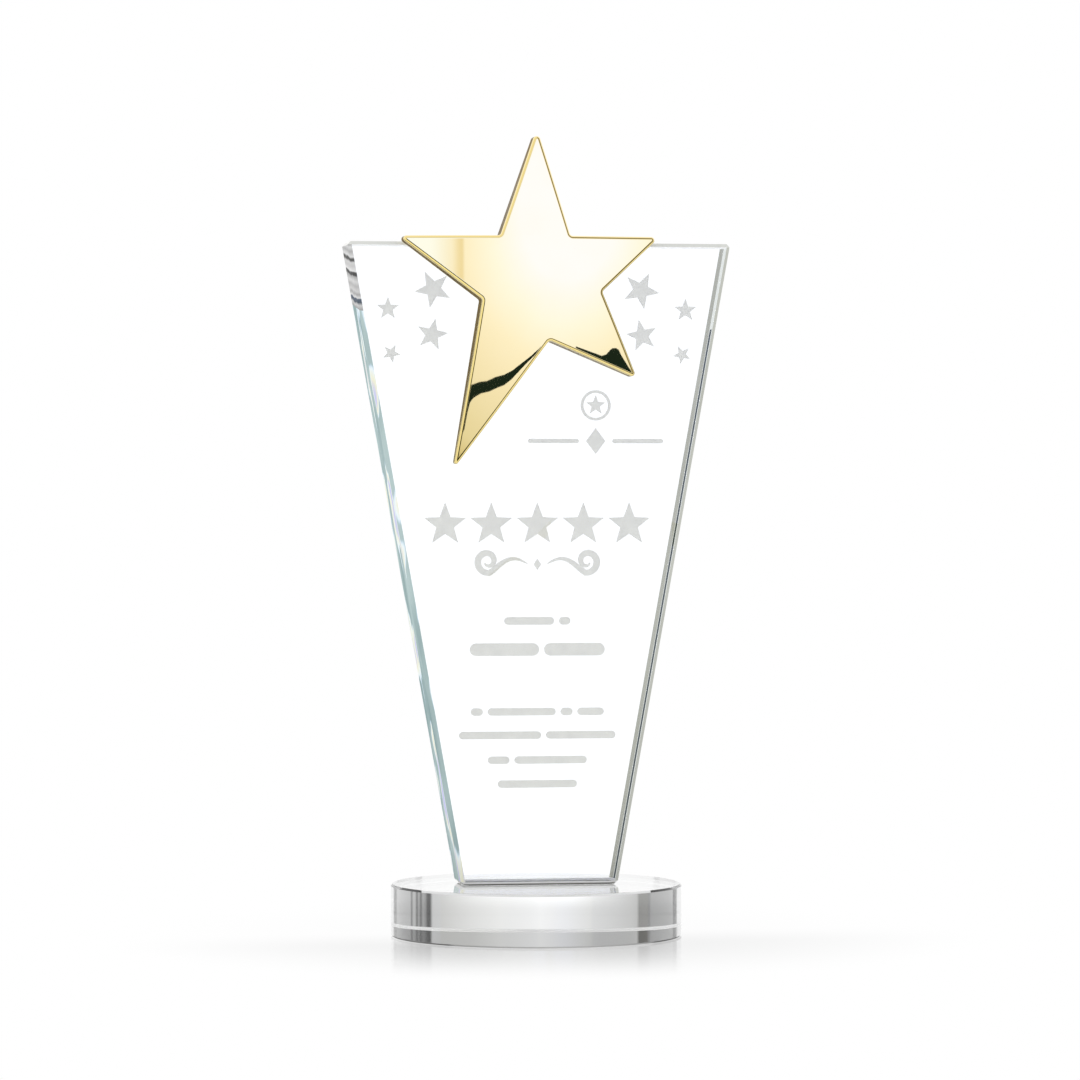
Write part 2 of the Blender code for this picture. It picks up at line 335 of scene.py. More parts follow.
class NodeMaths:
    """Short names for the maths nodes of one node tree."""

    def __init__(self, tree):
        self.nodes = tree.nodes
        self.links = tree.links

    def feed(self, socket, value):
        """Sets a socket to a plain value, or links it to another node's output."""
        if isinstance(value, (int, float, tuple)):
            socket.default_value = value
        else:
            self.links.new(value, socket)

    def node(self, operation, *values):
        node = self.nodes.new("ShaderNodeMath")
        node.operation = operation
        for socket, value in zip(node.inputs, values):
            self.feed(socket, value)
        return node.outputs[0]

    def ramp(self, value, stops):
        """The colour at value, between stops of (place, colour or brightness)."""
        node = self.nodes.new("ShaderNodeValToRGB")
        elements = node.color_ramp.elements
        elements.remove(elements[1])
        for index, (place, color) in enumerate(stops):
            element = elements[0] if index == 0 else elements.new(place)
            element.position = place
            element.color = (*color, 1.0) if isinstance(color, tuple) else grey(color)
        self.links.new(value, node.inputs["Fac"])
        return node.outputs["Color"]

    def surround(self, aside, column):
        """Brightness by degrees aside, from one column of the two tables."""
        turn = self.node("ADD", self.node("DIVIDE", aside, 360.0), 0.5)
        left, right = (
            self.ramp(turn, [(row[0] / 360 + 0.5, row[column]) for row in table])
            for table in (SURROUND_LEFT, SURROUND_RIGHT)
        )
        return self.choose(self.node("GREATER_THAN", aside, SURROUND_RIGHT[0][0]), left, right)

    def choose(self, factor, low, high):
        """The colour low where factor is 0, high where it is 1, and a mix between."""
        node = self.nodes.new("ShaderNodeMix")
        node.data_type = "RGBA"
        self.feed(node.inputs[0], factor)
        self.feed(node.inputs[6], low)
        self.feed(node.inputs[7], high)
        return node.outputs[2]

    def step(self, value, low, high, start=0.0, end=1.0):
        """A smooth change from start to end, as value goes from low to high."""
        node = self.nodes.new("ShaderNodeMapRange")
        node.interpolation_type = "SMOOTHSTEP"
        node.inputs["From Min"].default_value = low
        node.inputs["From Max"].default_value = high
        node.inputs["To Min"].default_value = start
        node.inputs["To Max"].default_value = end
        self.links.new(value, node.inputs["Value"])
        return node.outputs["Result"]

    def noise(self, scale, detail=2.0, stretch=(1.0, 1.0, 1.0)):
        """Noise through the object's own space."""
        place = self.nodes.new("ShaderNodeTexCoord")
        mapping = self.nodes.new("ShaderNodeMapping")
        mapping.inputs["Scale"].default_value = stretch
        noise = self.nodes.new("ShaderNodeTexNoise")
        noise.inputs["Scale"].default_value = scale
        noise.inputs["Detail"].default_value = detail
        self.links.new(place.outputs["Object"], mapping.inputs["Vector"])
        self.links.new(mapping.outputs["Vector"], noise.inputs["Vector"])
        return noise.outputs["Fac"]

    def bump(self, height, strength, distance):
        bump = self.nodes.new("ShaderNodeBump")
        bump.inputs["Strength"].default_value = strength
        bump.inputs["Distance"].default_value = distance
        self.links.new(height, bump.inputs["Height"])
        return bump.outputs["Normal"]


# ---------------------------------------------------------------- materials


def new_material(name):
    material = bpy.data.materials.new(name)
    material.use_nodes = True
    shader = material.node_tree.nodes["Principled BSDF"]
    return material, NodeMaths(material.node_tree), shader.inputs


def crystal_material(name, pale, deep):
    """Polished lead-free crystal. Faint cords of slightly deeper tint run through it."""
    material, maths, inputs = new_material(name)
    inputs["Transmission Weight"].default_value = 1.0
    inputs["Roughness"].default_value = 0.0
    inputs["IOR"].default_value = CRYSTAL_IOR
    cords = maths.noise(14.0, 2.0, (1.0, 1.0, 0.3))
    maths.feed(inputs["Base Color"], maths.ramp(cords, ((0.35, pale), (0.7, deep))))
    return material


def edge_material(name, pattern, glancing_only=False, inside=None):
    """Clear crystal under a veil of painted refraction: diffuse and translucent colour that paints the
    tints, glints and shade that light would show on its long way through the slab. The veil covers a
    narrow face wholly, or a broad one only at a glancing angle. It can have another tone for light that
    reaches it from inside."""
    material, maths, inputs = new_material(name)
    inputs["Base Color"].default_value = (0.99, 1.0, 0.997, 1.0)
    inputs["Transmission Weight"].default_value = 1.0
    inputs["Roughness"].default_value = 0.0
    inputs["IOR"].default_value = CRYSTAL_IOR
    nodes = material.node_tree.nodes
    place = nodes.new("ShaderNodeTexCoord")
    split = nodes.new("ShaderNodeSeparateXYZ")
    maths.links.new(place.outputs["Object"], split.inputs[0])
    color = pattern(maths, *split.outputs)
    matt = nodes.new("ShaderNodeBsdfDiffuse")
    through = nodes.new("ShaderNodeBsdfTranslucent")
    maths.links.new(color, matt.inputs["Color"])
    maths.feed(through.inputs["Color"], inside or color)
    geometry = nodes.new("ShaderNodeNewGeometry")
    veil = nodes.new("ShaderNodeMixShader")
    maths.links.new(geometry.outputs["Backfacing"], veil.inputs["Fac"])
    maths.links.new(matt.outputs[0], veil.inputs[1])
    maths.links.new(through.outputs[0], veil.inputs[2])
    mix = nodes.new("ShaderNodeMixShader")
    if glancing_only:
        weight = nodes.new("ShaderNodeLayerWeight")
        weight.inputs["Blend"].default_value = 0.5
        maths.feed(mix.inputs["Fac"], maths.step(weight.outputs["Facing"], *VEIL_ONSET, 0.0, VEIL))
    else:
        mix.inputs["Fac"].default_value = VEIL
    maths.links.new(nodes["Principled BSDF"].outputs[0], mix.inputs[1])
    maths.links.new(veil.outputs[0], mix.inputs[2])
    maths.links.new(mix.outputs[0], nodes["Material Output"].inputs["Surface"])
    return material


def left_side_tint_and_painted_glints(maths, x, depth, height):
    """Teal tint with long painted glints, and slanting bands of painted reflection near the top."""
    teal = maths.ramp(maths.noise(90.0, 2.0, (1.0, 1.0, 0.2)), EDGE_TEALS)
    glint = maths.noise(170.0, 1.0, (1.0, 1.0, 0.14))
    tinted = maths.choose(maths.step(glint, 0.54, 0.57), teal, maths.ramp(glint, EDGE_PAINTED_GLINTS))
    slanting = maths.node("SUBTRACT", height, maths.node("MULTIPLY", depth, EDGE_BAND_SLANT))
    waver = maths.node("MULTIPLY", maths.node("SUBTRACT", maths.noise(160.0, 1.0), 0.5), EDGE_BAND_WAVER)
    slanting = maths.node("ADD", slanting, waver)
    stretch = maths.node("DIVIDE", maths.node("SUBTRACT", slanting, EDGE_BANDS_FOOT), EDGE_BANDS_HEIGHT)
    is_banded = maths.node("GREATER_THAN", stretch, 0.0)
    return maths.choose(is_banded, tinted, maths.ramp(stretch, EDGE_BANDS))


def right_side_painted_shade_line(maths, x, depth, height):
    """Pale, with one painted dark line of shade down the middle that ends below the top."""
    offset = maths.node("ABSOLUTE", maths.node("SUBTRACT", depth, EDGE_LINE_DEPTH))
    line = maths.step(offset, EDGE_LINE_HALF * 0.8, EDGE_LINE_HALF * 1.2)
    lower = maths.choose(line, EDGE_SHADE_LINE_TONE, EDGE_PALE)
    return maths.choose(maths.node("GREATER_THAN", height, EDGE_LINE_TOP), lower, EDGE_PALE)


def chamfer_painted_shade(maths, x, depth, height):
    """A soft grey of painted shade, a little uneven and a little warmer at the back."""
    patches = maths.noise(80.0, 2.0, (1.0, 1.0, 0.3))
    is_back = maths.node("GREATER_THAN", depth, 0.0)
    return maths.choose(is_back, maths.ramp(patches, EDGE_GREYS), maths.ramp(patches, EDGE_BACK_GREYS))


def front_rim_painted_shade(maths, x, depth, height):
    """A pale grey of painted shade, a little uneven."""
    return maths.ramp(maths.noise(80.0, 2.0, (0.3, 1.0, 1.0)), EDGE_RIM_GREYS)


def back_rim_painted_light(maths, x, depth, height):
    """Almost white: painted light."""
    return maths.ramp(maths.noise(80.0, 2.0, (0.3, 1.0, 1.0)), EDGE_WHITES)


def foot_painted_shade(maths, x, depth, height):
    """Painted shade: dark where the panel meets its base, and paler above."""
    above = maths.node("SUBTRACT", height, BASE_HIGH[2])
    return maths.ramp(maths.node("DIVIDE", above, 2 * PANEL_CHAMFER), FOOT_TONES)


def frosted_material():
    """Sand-carved crystal: a fine, uneven matt grain."""
    material, maths, inputs = new_material("frosted_etch")
    inputs["Transmission Weight"].default_value = 0.85
    inputs["IOR"].default_value = 1.45
    grain = maths.noise(2600.0, 3.0)
    patches = maths.noise(240.0, 2.0)
    tones = ((0.3, (0.8, 0.8, 0.73)), (0.7, (0.87, 0.87, 0.79)))
    maths.feed(inputs["Base Color"], maths.ramp(patches, tones))
    maths.feed(inputs["Roughness"], maths.step(grain, 0.2, 0.8, 0.6, 0.8))
    maths.feed(inputs["Normal"], maths.bump(grain, 0.35, 0.05 * MM))
    return material


def gold_material():
    """Mirror-bright plate with a trace of polishing haze."""
    material, maths, inputs = new_material("mirror_gold")
    inputs["Metallic"].default_value = 1.0
    haze = maths.noise(60.0, 3.0)
    polish = maths.noise(900.0, 2.0, (1.0, 1.0, 0.15))
    tones = ((0.3, (1.0, 0.835, 0.43)), (0.7, (1.0, 0.845, 0.45)))
    maths.feed(inputs["Base Color"], maths.ramp(haze, tones))
    maths.feed(inputs["Roughness"], maths.step(haze, 0.3, 0.7, 0.008, 0.02))
    maths.feed(inputs["Normal"], maths.bump(polish, 0.03, 0.003 * MM))
    return material


def shaded_wall_material():
    """The same plate on the star's straight walls, less polished, with fine cutting marks, and darker by
    painted shade.
    """
    material, maths, inputs = new_material("brushed_gold_wall_painted_shade")
    inputs["Metallic"].default_value = 1.0
    # Painted shade: the dark base colour and the dark tint at grazing angles stand in for the shade on
    # the walls
    inputs["Specular Tint"].default_value = (0.42, 0.34, 0.2, 1.0)
    marks = maths.noise(1400.0, 2.0, (0.15, 1.0, 0.15))
    haze = maths.noise(110.0, 3.0)
    tones = ((0.3, (0.25, 0.19, 0.10)), (0.7, (0.33, 0.26, 0.14)))
    maths.feed(inputs["Base Color"], maths.ramp(haze, tones))
    maths.feed(inputs["Roughness"], maths.step(marks, 0.3, 0.7, 0.16, 0.26))
    maths.feed(inputs["Normal"], maths.bump(marks, 0.15, 0.01 * MM))
    return material


def tape_material():
    """Closed-cell foam between two skins of adhesive."""
    material, maths, inputs = new_material("foam_tape")
    cells = maths.noise(3000.0, 2.0)
    patches = maths.noise(90.0, 2.0)
    maths.feed(inputs["Base Color"], maths.ramp(patches, ((0.3, 0.70), (0.7, 0.78))))
    maths.feed(inputs["Roughness"], maths.step(cells, 0.2, 0.8, 0.5, 0.75))
    maths.feed(inputs["Normal"], maths.bump(cells, 0.4, 0.05 * MM))
    return material


def adhesive_material():
    """Clear cured adhesive with faint flow marks."""
    material, maths, inputs = new_material("clear_adhesive")
    inputs["Transmission Weight"].default_value = 1.0
    inputs["IOR"].default_value = 1.5
    flow = maths.noise(120.0, 3.0)
    tones = ((0.3, (0.95, 0.96, 0.95)), (0.7, (0.99, 0.99, 0.98)))
    maths.feed(inputs["Base Color"], maths.ramp(flow, tones))
    maths.feed(inputs["Roughness"], maths.step(flow, 0.3, 0.7, 0.02, 0.08))
    return material


# ---------------------------------------------------------------- mesh helpers


def new_piece(name, bm, *materials):
    """An object in the scene from a finished bmesh, its faces all turned outwards."""
    bmesh.ops.recalc_face_normals(bm, faces=bm.faces)
    mesh = bpy.data.meshes.new(name)
    bm.to_mesh(mesh)
    bm.free()
    for material in materials:
        mesh.materials.append(material)
    obj = bpy.data.objects.new(name, mesh)
    bpy.context.scene.collection.objects.link(obj)
    return obj


def settle(obj):
    """Applies an object's modifiers, so that its mesh is final."""
    graph = bpy.context.evaluated_depsgraph_get()
    mesh = bpy.data.meshes.new_from_object(obj.evaluated_get(graph))
    old = obj.data
    obj.modifiers.clear()
    obj.data = mesh
    bpy.data.meshes.remove(old)


def add_chamfer(obj, width):
    bevel = obj.modifiers.new("chamfer", "BEVEL")
    bevel.width = width
    bevel.segments = 1
    bevel.limit_method = "ANGLE"
    bevel.angle_limit = math.radians(30)


def circle_points(radius, count=64):
    turns = [math.tau * step / count for step in range(count)]
    return [(radius * math.cos(turn), radius * math.sin(turn)) for turn in turns]


def join_rings(bm, rings, first_band=0):
    """Faces between each ring and the next. The first band takes its own material."""
    for level, (lower, upper) in enumerate(zip(rings, rings[1:])):
        for index in range(len(lower)):
            following = (index + 1) % len(lower)
            face = bm.faces.new((lower[index], lower[following], upper[following], upper[index]))
            face.material_index = first_band if level == 0 else 0
    bm.faces.new(rings[0])
    bm.faces.new(rings[-1])


def prism(outline, depth):
    """An outline drawn flat and extruded from z = 0 to z = depth."""
    bm = bmesh.new()
    face = bm.faces.new([bm.verts.new((x, y, 0.0)) for x, y in outline])
    extruded = bmesh.ops.extrude_face_region(bm, geom=[face])
    moved = [item for item in extruded["geom"] if isinstance(item, bmesh.types.BMVert)]
    bmesh.ops.translate(bm, verts=moved, vec=(0, 0, depth))
    return bm


def ribbon(inner, outer, depth, closed):
    """A band between two lines of as many points, extruded from z = 0 to z = depth."""
    bm = bmesh.new()
    rows = []
    for line, height in ((inner, 0.0), (outer, 0.0), (outer, depth), (inner, depth)):
        rows.append([bm.verts.new((x, y, height)) for x, y in line])
    count = len(inner)
    for step in range(count if closed else count - 1):
        following = (step + 1) % count
        for side in range(4):
            near, far = rows[side], rows[(side + 1) % 4]
            bm.faces.new((near[step], near[following], far[following], far[step]))
    if not closed:
        bm.faces.new([row[0] for row in rows])
        bm.faces.new([row[-1] for row in rows])
    return bm


# ---------------------------------------------------------------- base


def base_foot_painted_shade(maths, x, depth, height):
    """Greys of painted shade that deepen towards both sides."""
    aside = maths.node("DIVIDE", maths.node("ABSOLUTE", x), (BASE_HIGH[0] - BASE_LOW[0]) / 2)
    return maths.ramp(aside, BASE_FOOT_TONES)


def build_base(crystal):
    """A disc with a chamfer round its top and one round its foot under a veil of painted shade."""
    height = BASE_HIGH[2] - BASE_LOW[2]
    radius = (BASE_HIGH[0] - BASE_LOW[0]) / 2
    bm = bmesh.new()
    rings = []
    for inset, level in (
        (BASE_FOOT_CHAMFER, 0.0),
        (0.0, BASE_FOOT_CHAMFER),
        (0.0, height - BASE_TOP_CHAMFER),
        (BASE_TOP_CHAMFER, height),
    ):
        ring = [bm.verts.new((x, y, level)) for x, y in circle_points(radius - inset, BASE_SIDES)]
        rings.append(ring)
    join_rings(bm, rings, first_band=1)
    foot = edge_material("base_foot_chamfer", base_foot_painted_shade, inside=grey(1.0))
    base = new_piece("crystal_base_fine", bm, crystal, foot)
    base.data.shade_smooth()
    base.data.set_sharp_from_angle(angle=math.radians(20))
    return base


# ---------------------------------------------------------------- etching


def star_points(radius):
    """A five-pointed star with one point up."""
    points = []
    for step in range(10):
        angle = math.radians(90 + 36 * step)
        reach = radius if step % 2 == 0 else radius * ETCH_WAIST
        points.append((reach * math.cos(angle), reach * math.sin(angle)))
    return points


def pill_points(length, thickness, steps=8):
    """A bar with round ends."""
    points = []
    for side in (1, -1):
        for step in range(steps + 1):
            angle = math.radians(-90 + 180 * step / steps)
            x = (length - thickness) / 2 + thickness / 2 * math.cos(angle)
            points.append((side * x, side * thickness / 2 * math.sin(angle)))
    return points


def lozenge_points(half_width, half_height):
    return [(half_width, 0.0), (0.0, half_height), (-half_width, 0.0), (0.0, -half_height)]


def scroll_lines(side):
    """Both sides of one tapered stroke: a shallow wave that ends in an inward curl."""
    spine = []
    for step in range(WAVE_STEPS + 1):
        along = step / WAVE_STEPS
        wave = WAVE_RISE * math.sin(math.pi * along * WAVE_HALF_TURNS + WAVE_PHASE)
        spine.append(Vector((WAVE_START + WAVE_LENGTH * along, wave - WAVE_FALL * along)))
    curl_centre = spine[-1] + Vector(CURL_CENTRE)
    start = spine[-1] - curl_centre
    for step in range(1, CURL_STEPS + 1):
        along = step / CURL_STEPS
        spoke = start.copy()
        spoke.rotate(Matrix.Rotation(math.radians(CURL_SWEEP * along), 2))
        spine.append(curl_centre + spoke * (1 - CURL_SHRINK * along))
    left, right = [], []
    for index, point in enumerate(spine):
        before = spine[max(index - 1, 0)]
        after = spine[min(index + 1, len(spine) - 1)]
        heading = (after - before).normalized()
        across = Vector((-heading.y, heading.x))
        along = index / (len(spine) - 1)
        swell = math.sin(math.pi * along) ** STROKE_SWELL
        half = FLOURISH_STROKE / MM / 2 * (STROKE_END + (1 - STROKE_END) * swell)
        for line, edge in ((left, point + across * half), (right, point - across * half)):
            line.append((edge.x * side * MM, edge.y * MM))
    return left, right


def etching_shapes():
    """Every etched shape, drawn flat: (bmesh, x, z, tilt in degrees)."""
    depth = 2 * ETCH_DEPTH
    shapes = []
    for distance, height, radius, tilt in ETCHED_PAIRS:
        for side in (-1, 1):
            shapes.append((prism(star_points(radius), depth), side * distance, height, side * tilt))
    outer, inner = (circle_points(radius) for radius in EMBLEM_RING)
    shapes.append((ribbon(inner, outer, depth, True), EMBLEM_X, EMBLEM_Z, 0))
    shapes.append((prism(star_points(EMBLEM_STAR), depth), EMBLEM_X, EMBLEM_Z, 0))
    shapes.append((prism(lozenge_points(*LOZENGE), depth), EMBLEM_X, RULE_Z, 0))
    rule_length = RULE_HALF - RULE_BREAK
    for side in (-1, 1):
        rule = prism(pill_points(rule_length, RULE_HEIGHT), depth)
        shapes.append((rule, EMBLEM_X + side * (RULE_BREAK + rule_length / 2), RULE_Z, 0))
    for index in range(HEADING_COUNT):
        x = (index - (HEADING_COUNT - 1) / 2) * HEADING_SPACING
        height = HEADING_Z - HEADING_DROP * HEADING_STAR
        shapes.append((prism(star_points(HEADING_STAR), depth), x, height, 0))
    shapes.append((prism(lozenge_points(*FLOURISH_LOZENGE), depth), 0, FLOURISH_Z, 0))
    for side in (-1, 1):
        shapes.append((ribbon(*scroll_lines(side), depth, False), 0, FLOURISH_Z, 0))
    for height, thickness, words in LINES:
        start = -(sum(words) * MM + LINE_GAP * (len(words) - 1)) / 2
        for word in words:
            bar = prism(pill_points(word * MM, thickness), depth)
            shapes.append((bar, start + word * MM / 2, height, 0))
            start += word * MM + LINE_GAP
    return shapes


def etching_cutter(frosted):
    """Every etched shape stood up in the panel's back face, half its depth in the crystal."""
    joined = bmesh.new()
    for shape, x, height, tilt in etching_shapes():
        bmesh.ops.recalc_face_normals(shape, faces=shape.faces)
        place = Matrix.Translation((ETCH_MIDDLE + x, PANEL_HIGH[1] + ETCH_DEPTH, height))
        turn = Matrix.Rotation(math.radians(tilt), 4, "Y")
        stand = Matrix.Rotation(UPRIGHT, 4, "X")
        shape.transform(place @ turn @ stand)
        mesh = bpy.data.meshes.new("etched_shape")
        shape.to_mesh(mesh)
        shape.free()
        joined.from_mesh(mesh)
        bpy.data.meshes.remove(mesh)
    return new_piece("etching", joined, frosted)


def build_film(adhesive):
    """A thin film with round corners, and an edge drawn in between the two surfaces it wets."""
    half_width = PANEL_FOOT_WIDTH / 2 - FILM_MARGIN
    half_depth = (PANEL_HIGH[1] - PANEL_LOW[1]) / 2 - FILM_MARGIN
    bm = bmesh.new()
    rings = []
    for height, inset in ((0.0, 0.0), (0.5, FILM_THICKNESS / 2), (1.0, 0.0)):
        ring = []
        for step in range(FILM_STEPS):
            angle = math.tau * (step + 0.5) / FILM_STEPS
            across, along = math.cos(angle), math.sin(angle)
            x = math.copysign(half_width - FILM_CORNER, across) + (FILM_CORNER - inset) * across
            y = math.copysign(half_depth - FILM_CORNER, along) + (FILM_CORNER - inset) * along
            ring.append(bm.verts.new((x, y, BASE_HIGH[2] + FILM_GAP + height * FILM_THICKNESS)))
        rings.append(ring)
    join_rings(bm, rings)
    return new_piece("bond_film_fine", bm, adhesive)


def build_panel(crystal, frosted):
    """A tapered slab, chamfered all round, with the etching cut into its back."""
    low = BASE_HIGH[2] + FILM_THICKNESS + 2 * FILM_GAP
    high = PANEL_HIGH[2]
    thickness = PANEL_HIGH[1] - PANEL_LOW[1]
    bm = bmesh.new()
    size = Matrix.Diagonal((PANEL_TOP_WIDTH, thickness, high - low, 1.0))
    bmesh.ops.create_cube(bm, size=1.0, matrix=Matrix.Translation((0, 0, (high + low) / 2)) @ size)
    for vert in bm.verts:
        if vert.co.z < (high + low) / 2:
            vert.co.x *= PANEL_FOOT_WIDTH / PANEL_TOP_WIDTH
    # The narrow sides and chamfers take veils of painted refraction, light and shade
    edges = (
        edge_material("panel_left_side", left_side_tint_and_painted_glints, glancing_only=True),
        edge_material("panel_left_chamfers", left_side_tint_and_painted_glints),
        edge_material("panel_right_side", right_side_painted_shade_line, glancing_only=True),
        edge_material("panel_right_chamfers", chamfer_painted_shade),
        edge_material("panel_top_front_chamfer", front_rim_painted_shade),
        edge_material("panel_top_back_chamfer", back_rim_painted_light),
        edge_material("panel_foot_chamfers", foot_painted_shade),
    )
    panel = new_piece("crystal_panel_fine", bm, crystal, frosted, *edges)
    add_chamfer(panel, PANEL_CHAMFER)
    cutter = etching_cutter(frosted)
    cut = panel.modifiers.new("etching", "BOOLEAN")
    cut.operation = "DIFFERENCE"
    cut.object = cutter
    cut.material_mode = "TRANSFER"
    settle(panel)
    bpy.data.objects.remove(cutter, do_unlink=True)
    for face in panel.data.polygons:
        if face.material_index == CLEAR:
            face.material_index = panel_zone(face.normal)
    return panel


def panel_zone(normal):
    """Which of the panel's materials a face takes, by the way it faces."""
    if abs(normal.x) > SIDE_LEAST:
        return LEFT_SIDE if normal.x < 0 else RIGHT_SIDE
    if CHAMFER_LEAST < normal.z < SIDE_LEAST:
        return TOP_FRONT if normal.y < 0 else TOP_BACK
    if -SIDE_LEAST < normal.z < -CHAMFER_LEAST:
        return FOOT
    if abs(normal.x) > CHAMFER_LEAST and abs(normal.y) > CHAMFER_LEAST:
        return LEFT_CHAMFER if normal.x < 0 else RIGHT_CHAMFER
    return CLEAR


# ---------------------------------------------------------------- star


def star_corner(index):
    """A corner of the outline: its place, its radius, the directions out along both of its edges,
    half the angle between them, and whether it is a tip rather than a notch."""
    before, corner, after = (
        Vector(STAR_CORNERS[(index + shift) % len(STAR_CORNERS)][:2]) for shift in (-1, 0, 1)
    )
    to_before = (before - corner).normalized()
    to_after = (after - corner).normalized()
    is_tip = to_after.x * to_before.y - to_after.y * to_before.x < 0
    return corner, STAR_CORNERS[index][2], to_before, to_after, to_before.angle(to_after) / 2, is_tip


def star_outline(inset):
    """The outline moved in by inset, each corner rounded by the same number of points."""
    points = []
    for index in range(len(STAR_CORNERS)):
        corner, radius, to_before, to_after, half_angle, is_tip = star_corner(index)
        bisector = (to_before + to_after).normalized()
        moved = corner + bisector * (inset / math.sin(half_angle)) * (1 if is_tip else -1)
        rounding = max(radius - inset, STAR_LEAST_RADIUS) if is_tip else radius + inset
        centre = moved + bisector * (rounding / math.sin(half_angle))
        start = moved + to_before * (rounding / math.tan(half_angle)) - centre
        sweep = (math.pi - 2 * half_angle) * (-1 if is_tip else 1)
        for step in range(STAR_ARC_STEPS + 1):
            spoke = start.copy()
            spoke.rotate(Matrix.Rotation(sweep * step / STAR_ARC_STEPS, 2))
            points.append(centre + spoke)
    return points


def star_directions():
    """The direction out of the star at each point of its outline."""
    directions = []
    for index in range(len(STAR_CORNERS)):
        _, _, to_before, to_after, half_angle, is_tip = star_corner(index)
        bisector = (to_before + to_after).normalized()
        sweep = (math.pi - 2 * half_angle) * (-1 if is_tip else 1)
        for step in range(STAR_ARC_STEPS + 1):
            direction = -bisector if is_tip else bisector
            direction.rotate(Matrix.Rotation(sweep * (step / STAR_ARC_STEPS - 0.5), 2))
            directions.append(direction)
    return directions


def dome_drop(x, y):
    """How far the dome lies below its top at that distance from the origin."""
    return STAR_DOME_RADIUS - math.sqrt(STAR_DOME_RADIUS**2 - x * x - y * y)


def cut_along_grid(bm, spacing):
    """Cuts every face along evenly spaced planes, so that it can follow the dome."""
    for normal in ((1, 0, 0), (0, 1, 0)):
        reach = max(abs(vert.co.dot(Vector(normal))) for vert in bm.verts)
        count = int(reach / spacing)
        for step in range(-count, count + 1):
            bmesh.ops.bisect_plane(
                bm,
                geom=[*bm.verts, *bm.edges, *bm.faces],
                dist=1e-7,
                plane_co=Vector(normal) * (step * spacing),
                plane_no=normal,
            )


def build_star(gold, wall):
    """Straight walls, a rounded rim and one shallow dome across the face."""
    # Inset, height and tilt of each ring, from the back edge to the edge of the face
    levels = [(0.0, 0.0, 0.0)]
    for step in range(STAR_EDGE_STEPS + 1):
        tilt = UPRIGHT * step / STAR_EDGE_STEPS
        inset = STAR_EDGE_RADIUS * (1 - math.cos(tilt))
        levels.append((inset, STAR_THICKNESS - STAR_EDGE_RADIUS * (1 - math.sin(tilt)), tilt))
    bm = bmesh.new()
    outward = bm.verts.layers.float_vector.new("outward")
    slope = bm.verts.layers.float.new("slope")
    rings = []
    for inset, height, tilt in levels:
        ring = []
        for point, direction in zip(star_outline(inset), star_directions()):
            vert = bm.verts.new((point.x, point.y, height))
            vert[outward] = (direction.x, direction.y, 0.0)
            vert[slope] = tilt
            ring.append(vert)
        rings.append(ring)
    join_rings(bm, rings, first_band=1)
    cut_along_grid(bm, STAR_FACE_GRID)
    bmesh.ops.recalc_face_normals(bm, faces=bm.faces)
    normals = []
    for vert in bm.verts:
        x, y, height = vert.co
        dome = Vector((x, y, STAR_DOME_RADIUS - dome_drop(x, y))).normalized()
        side = Vector(vert[outward])
        side = side.normalized() if side.length > 0 else side
        tilt = vert[slope]
        normal = side * math.cos(tilt) + dome * math.sin(tilt)
        if height > STAR_THICKNESS - 1e-7:
            normal = dome
        normals.append(Vector((normal.x, -normal.z, normal.y)).normalized())
        if height > 0:
            vert.co.z -= dome_drop(x, y)
    bm.transform(Matrix.Translation(STAR_ORIGIN) @ Matrix.Rotation(UPRIGHT, 4, "X"))
    star = new_piece("gold_star_fine", bm, gold, wall)
    mesh = star.data
    mesh.shade_smooth()
    back = Vector((0.0, 1.0, 0.0))
    split = [back] * len(mesh.loops)
    for face in mesh.polygons:
        if face.normal.y < 0.99:
            for index in face.loop_indices:
                split[index] = normals[mesh.loops[index].vertex_index]
    mesh.normals_split_custom_set(split)
    return star


# ---------------------------------------------------------------- studio


def build_camera():
    """A long lens, a little to the left and a little above the trophy's foot."""
    camera = bpy.data.objects.new("camera", bpy.data.cameras.new("camera"))
    bpy.context.scene.collection.objects.link(camera)
    camera.location = CAMERA_PLACE
    camera.rotation_euler = (math.radians(90 + CAMERA_PITCH), 0, math.radians(-CAMERA_TURN))
    camera.data.lens = CAMERA_LENS
    camera.data.sensor_width = CAMERA_SENSOR
    camera.data.clip_start = 0.01
    camera.data.clip_end = 100.0
    bpy.context.scene.camera = camera


def build_floor():
    """Pale and level, with a faint gloss that mirrors the base."""
    bm = bmesh.new()
    bmesh.ops.create_grid(bm, x_segments=1, y_segments=1, size=FLOOR_HALF)
    bmesh.ops.translate(bm, verts=bm.verts, vec=(0, 0, FLOOR_LEVEL))
    material = bpy.data.materials.new("floor")
    material.use_nodes = True
    nodes = material.node_tree.nodes
    links = material.node_tree.links
    nodes.clear()
    maths = NodeMaths(material.node_tree)
    output = nodes.new("ShaderNodeOutputMaterial")
    mix = nodes.new("ShaderNodeMixShader")
    pale = nodes.new("ShaderNodeEmission")
    gloss = nodes.new("ShaderNodeBsdfGlossy")
    gloss.inputs["Roughness"].default_value = FLOOR_GLOSS_ROUGHNESS
    place = nodes.new("ShaderNodeTexCoord")
    length = nodes.new("ShaderNodeVectorMath")
    length.operation = "LENGTH"
    links.new(place.outputs["Object"], length.inputs[0])
    split = nodes.new("ShaderNodeSeparateXYZ")
    links.new(place.outputs["Object"], split.inputs[0])
    fade = maths.step(length.outputs["Value"], *FLOOR_GLOSS_FADE, FLOOR_GLOSS, 0.0)
    in_front = maths.step(split.outputs["Y"], *FLOOR_GLOSS_BACK, 1.0, FLOOR_GLOSS_BEHIND)
    links.new(maths.node("MULTIPLY", fade, in_front), mix.inputs["Fac"])
    links.new(pale.outputs[0], mix.inputs[1])
    links.new(gloss.outputs[0], mix.inputs[2])
    links.new(mix.outputs[0], output.inputs["Surface"])
    floor = new_piece("floor", bm, material)
    floor.visible_transmission = False
    floor.visible_glossy = False


